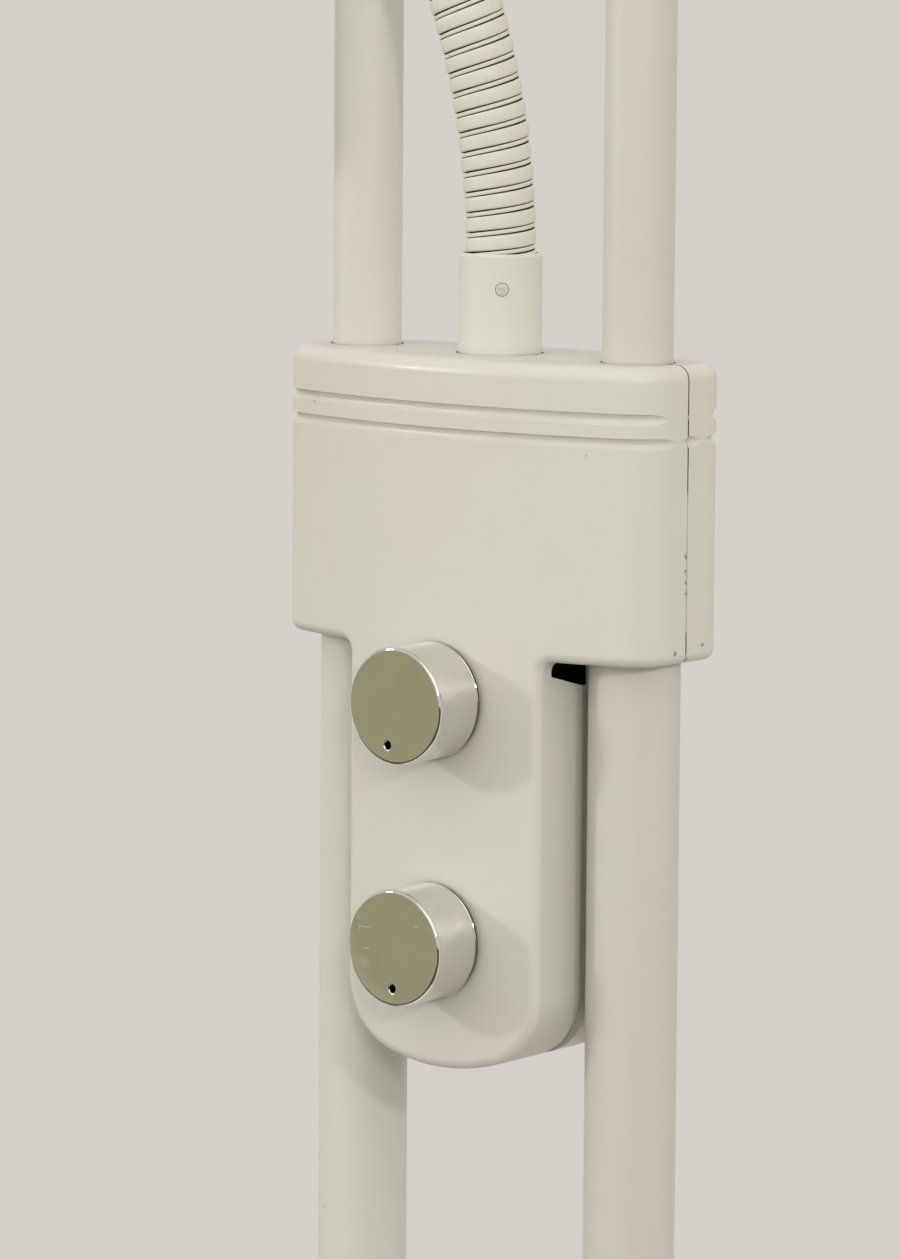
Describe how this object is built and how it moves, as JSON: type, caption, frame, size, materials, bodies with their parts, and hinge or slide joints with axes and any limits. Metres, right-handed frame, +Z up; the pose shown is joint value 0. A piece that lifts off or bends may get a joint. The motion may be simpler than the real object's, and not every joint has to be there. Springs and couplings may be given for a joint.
{
  "type": "uplighter floor lamp",
  "caption": "Floor-standing twin-tube uplighter with an open bowl, a control casing with turning knobs and a bendable gooseneck reading lamp.",
  "frame": {"origin": "centre of the base's floor face", "axes": "+Z up the tubes to the bowl, -Y the front with the knobs, +X to the right seen from the front"},
  "size_m": [0.3768, 0.3394, 1.827],
  "materials": {
    "enamel": "satin off-white enamel",
    "hose_enamel": "satin off-white enamel on a wound strip",
    "polished_knob": "polished",
    "zinc_steel": "bright zinc",
    "brass_fitting": "plain brass",
    "cast_iron": "rough casting",
    "felt_pad": "felt",
    "black_rubber": "moulded",
    "nylon": "moulded",
    "black_plastic": "moulded",
    "board_laminate": "laminate",
    "capacitor_plastic": "moulded",
    "bare_aluminium": "bright rolled",
    "ceramic": "glazed ceramic",
    "opal_glass": "opal",
    "quartz_glass": "clear quartz"
  },
  "bodies": {
    "stand": {"base_bolts": "zinc_steel", "base_collars": "enamel", "base_cover": "enamel", "base_pad": "felt_pad", "base_washers": "zinc_steel", "base_weight": "cast_iron", "bowl": "enamel", "bowl_bolts": "zinc_steel", "bowl_collars": "enamel", "bowl_washers": "zinc_steel", "casing_front": "enamel", "casing_rear": "enamel", "casing_screws": "zinc_steel", "cord_gland": "black_rubber", "dimmer_board": "board_laminate", "dimmer_capacitors": "capacitor_plastic", "dimmer_chokes": "black_plastic", "dimmer_heatsinks": "bare_aluminium", "dimmer_nuts": "zinc_steel", "foot_plugs": "zinc_steel", "halogen_caps": "ceramic", "halogen_tube": "quartz_glass", "holder_screws": "zinc_steel", "joint_bushes": "nylon", "lamp_bracket": "zinc_steel", "lamp_holders": "ceramic", "lower_dimmer": "black_plastic", "lower_tube_left": "enamel", "lower_tube_right": "enamel", "neck_nipple": "brass_fitting", "neck_nut": "brass_fitting", "neck_sleeve": "enamel", "neck_sleeve_screw": "zinc_steel", "reflector": "bare_aluminium", "reflector_posts": "zinc_steel", "terminal_block": "nylon", "top_plugs": "zinc_steel", "tube_bridge": "zinc_steel", "upper_dimmer": "black_plastic", "upper_tube_left": "enamel", "upper_tube_right": "enamel"},
    "upper_dial": {"upper_knob": "polished_knob", "upper_shaft": "zinc_steel", "upper_knob_screw": "zinc_steel"},
    "lower_dial": {"lower_knob": "polished_knob", "lower_shaft": "zinc_steel", "lower_knob_screw": "zinc_steel"},
    "gooseneck": {"hose_end": "brass_fitting", "gooseneck_hose": "hose_enamel"},
    "reading_head": {"head_sleeve": "enamel", "head_sleeve_screw": "zinc_steel", "head_nipple": "brass_fitting", "reading_shade": "enamel", "reading_holder": "black_plastic", "reading_bulb_cap": "brass_fitting", "reading_bulb": "opal_glass"}
  },
  "joints": [
    {"name": "upper_knob_turn", "type": "hinge", "parent": "stand", "child": "upper_dial", "pos_m": [0, -0.035, 0.9919], "axis": [0, 1, 0], "range_deg": [0, 280]},
    {"name": "lower_knob_turn", "type": "hinge", "parent": "stand", "child": "lower_dial", "pos_m": [0, -0.035, 0.9257], "axis": [0, 1, 0], "range_deg": [0, 280]},
    {"name": "neck_swing", "type": "hinge", "parent": "stand", "child": "gooseneck", "pos_m": [0, 0, 1.0925], "axis": [0, 0, 1], "range_deg": [-10, 100]},
    {"name": "neck_bend", "type": "hinge", "parent": "gooseneck", "child": "reading_head", "pos_m": [-0.09593, -0.07495, 1.28979], "axis": [0.6157, -0.788, 0], "range_deg": [-55, 20], "deforming": ["gooseneck_hose"]}
  ]
}
